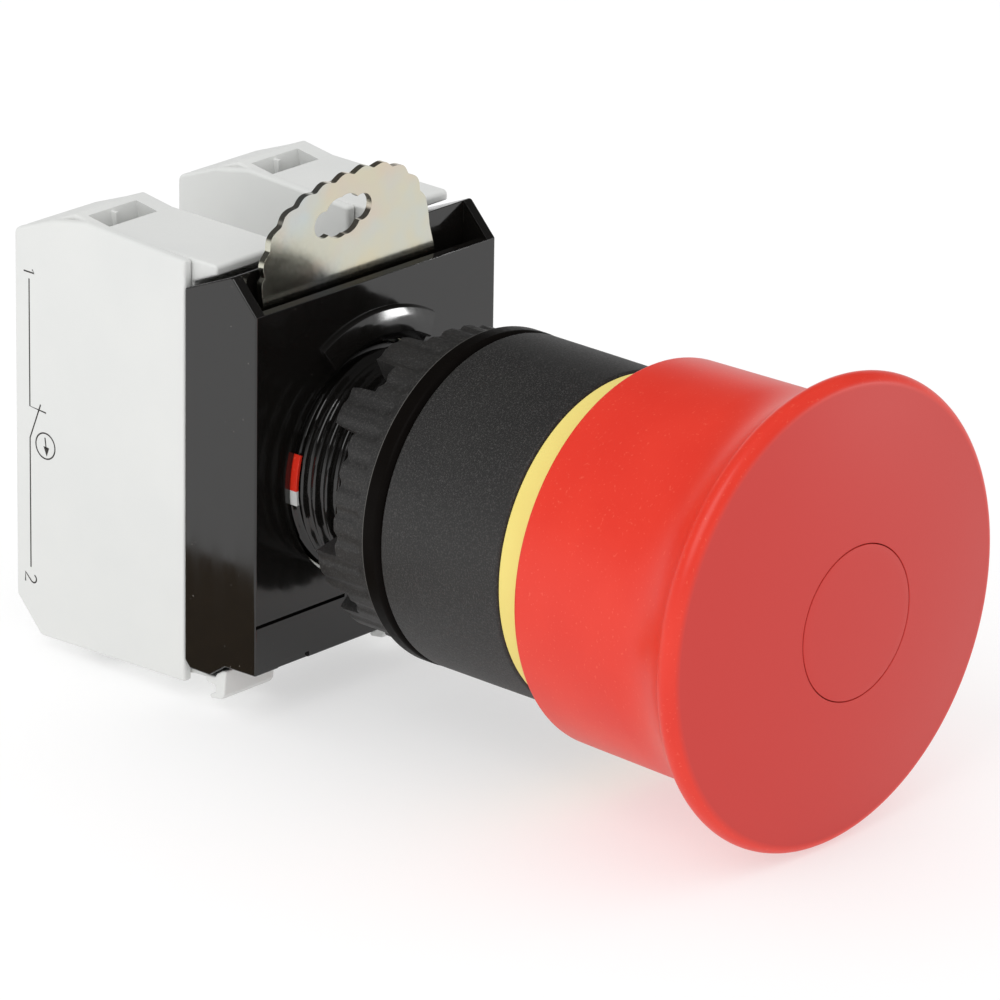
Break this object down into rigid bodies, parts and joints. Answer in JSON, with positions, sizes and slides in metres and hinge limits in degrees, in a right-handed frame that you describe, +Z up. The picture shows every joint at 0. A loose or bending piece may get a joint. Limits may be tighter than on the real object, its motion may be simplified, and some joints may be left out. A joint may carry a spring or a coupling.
{
  "type": "emergency stop button",
  "caption": "Push-pull mushroom emergency stop button with panel collar and ring nut, mounting base with a turning locking plate, and plug-in contact blocks.",
  "frame": {"origin": "on the button's axis, in the middle of the transfer bar's rear pad; the panel's front plane (the gasket's rear lip) is 16.5 mm in front of it, at y = -0.0165", "axes": "+Z up, +Y along the button's axis from the mushroom towards the contact blocks (the direction of pressing), +X to the right seen from the operator's side"},
  "size_m": [0.04, 0.0815, 0.0457],
  "materials": {
    "red_plastic": "moulded, semi-gloss sides and a finely hazed front face",
    "yellow_plastic": "moulded, semi-gloss",
    "textured_black": "glass filled, fine spark texture with pale specks",
    "gloss_black": "moulded, high gloss",
    "rubber": "satin black rubber",
    "grey_plastic": "moulded light grey, satin",
    "white_plastic": "moulded natural acetal",
    "zinc_steel": "zinc plated and passivated, faint rainbow tint",
    "brass": "rolled strip",
    "spring_steel": "drawn wire"
  },
  "bodies": {
    "base": {"base_body": "gloss_black", "index_flag": "red_plastic", "barrel": "gloss_black", "bezel": "textured_black", "yellow_ring": "yellow_plastic", "seal_retainer": "gloss_black", "inner_seal": "rubber", "panel_gasket": "rubber", "latch_spring": "spring_steel", "trigger_spring": "spring_steel", "left_housing": "grey_plastic", "left_side_cover": "grey_plastic", "left_top_contact": "brass", "left_bottom_contact": "brass", "left_return_spring": "spring_steel", "right_housing": "grey_plastic", "right_side_cover": "grey_plastic", "right_top_contact": "brass", "right_bottom_contact": "brass", "right_return_spring": "spring_steel"},
    "button": {"mushroom_cap": "red_plastic", "centre_cap": "red_plastic", "cap_screw": "spring_steel", "stem": "white_plastic"},
    "transfer_bar": {"transfer_bar": "white_plastic"},
    "locking_plate": {"locking_plate": "zinc_steel"},
    "ring_nut": {"ring_nut": "textured_black"},
    "left_contact_carrier": {"left_plunger": "white_plastic", "left_contact_bridge": "brass"},
    "left_release_clip": {"left_release_clip": "grey_plastic"},
    "left_top_clamp": {"left_top_clamp": "zinc_steel"},
    "left_top_screw": {"left_top_screw": "zinc_steel"},
    "left_bottom_clamp": {"left_bottom_clamp": "zinc_steel"},
    "left_bottom_screw": {"left_bottom_screw": "zinc_steel"},
    "right_contact_carrier": {"right_plunger": "white_plastic", "right_contact_bridge": "brass"},
    "right_release_clip": {"right_release_clip": "grey_plastic"},
    "right_top_clamp": {"right_top_clamp": "zinc_steel"},
    "right_top_screw": {"right_top_screw": "zinc_steel"},
    "right_bottom_clamp": {"right_bottom_clamp": "zinc_steel"},
    "right_bottom_screw": {"right_bottom_screw": "zinc_steel"}
  },
  "joints": [
    {"name": "button_press", "type": "slide", "parent": "base", "child": "button", "axis": [0, 1, 0], "range_m": [0, 0.004], "deforming": ["trigger_spring"]},
    {"name": "transfer_bar_slide", "type": "slide", "parent": "base", "child": "transfer_bar", "axis": [0, 1, 0], "range_m": [0, 0.004]},
    {"name": "locking_plate_turn", "type": "hinge", "parent": "base", "child": "locking_plate", "pos_m": [0, -0.0025, 0], "axis": [0, 1, 0], "range_deg": [-3, 15]},
    {"name": "ring_nut_travel", "type": "slide", "parent": "base", "child": "ring_nut", "axis": [0, 1, 0], "range_m": [0, 0.0045]},
    {"name": "left_contact_slide", "type": "slide", "parent": "base", "child": "left_contact_carrier", "axis": [0, 1, 0], "range_m": [0, 0.004], "deforming": ["left_return_spring"]},
    {"name": "left_release_clip_tilt", "type": "hinge", "parent": "base", "child": "left_release_clip", "pos_m": [-0.0117, 0.0065, -0.0175], "axis": [1, 0, 0], "range_deg": [0, 12]},
    {"name": "left_top_clamp_slide", "type": "slide", "parent": "base", "child": "left_top_clamp", "axis": [0, -1, 0], "range_m": [0, 0.003]},
    {"name": "left_top_screw_turn", "type": "hinge", "parent": "left_top_clamp", "child": "left_top_screw", "pos_m": [-0.00972, 0.018, 0.0132], "axis": [0, -1, 0], "range_deg": [0, 1800]},
    {"name": "left_bottom_clamp_slide", "type": "slide", "parent": "base", "child": "left_bottom_clamp", "axis": [0, -1, 0], "range_m": [0, 0.003]},
    {"name": "left_bottom_screw_turn", "type": "hinge", "parent": "left_bottom_clamp", "child": "left_bottom_screw", "pos_m": [-0.00972, 0.018, -0.0132], "axis": [0, -1, 0], "range_deg": [0, 1800]},
    {"name": "right_contact_slide", "type": "slide", "parent": "base", "child": "right_contact_carrier", "axis": [0, 1, 0], "range_m": [0, 0.004], "deforming": ["right_return_spring"]},
    {"name": "right_release_clip_tilt", "type": "hinge", "parent": "base", "child": "right_release_clip", "pos_m": [0.0079, 0.0065, -0.0175], "axis": [1, 0, 0], "range_deg": [0, 12]},
    {"name": "right_top_clamp_slide", "type": "slide", "parent": "base", "child": "right_top_clamp", "axis": [0, -1, 0], "range_m": [0, 0.003]},
    {"name": "right_top_screw_turn", "type": "hinge", "parent": "right_top_clamp", "child": "right_top_screw", "pos_m": [0.00988, 0.018, 0.0132], "axis": [0, -1, 0], "range_deg": [0, 1800]},
    {"name": "right_bottom_clamp_slide", "type": "slide", "parent": "base", "child": "right_bottom_clamp", "axis": [0, -1, 0], "range_m": [0, 0.003]},
    {"name": "right_bottom_screw_turn", "type": "hinge", "parent": "right_bottom_clamp", "child": "right_bottom_screw", "pos_m": [0.00988, 0.018, -0.0132], "axis": [0, -1, 0], "range_deg": [0, 1800]}
  ],
  "couplings": [
    {"joint": "transfer_bar_slide", "follows": "button_press", "ratio": 1},
    {"joint": "left_contact_slide", "follows": "button_press", "ratio": 1},
    {"joint": "left_top_screw_turn", "follows": "left_top_clamp_slide", "rad_per_m": 10472},
    {"joint": "left_bottom_screw_turn", "follows": "left_bottom_clamp_slide", "rad_per_m": 10472},
    {"joint": "right_contact_slide", "follows": "button_press", "ratio": 1},
    {"joint": "right_top_screw_turn", "follows": "right_top_clamp_slide", "rad_per_m": 10472},
    {"joint": "right_bottom_screw_turn", "follows": "right_bottom_clamp_slide", "rad_per_m": 10472}
  ]
}
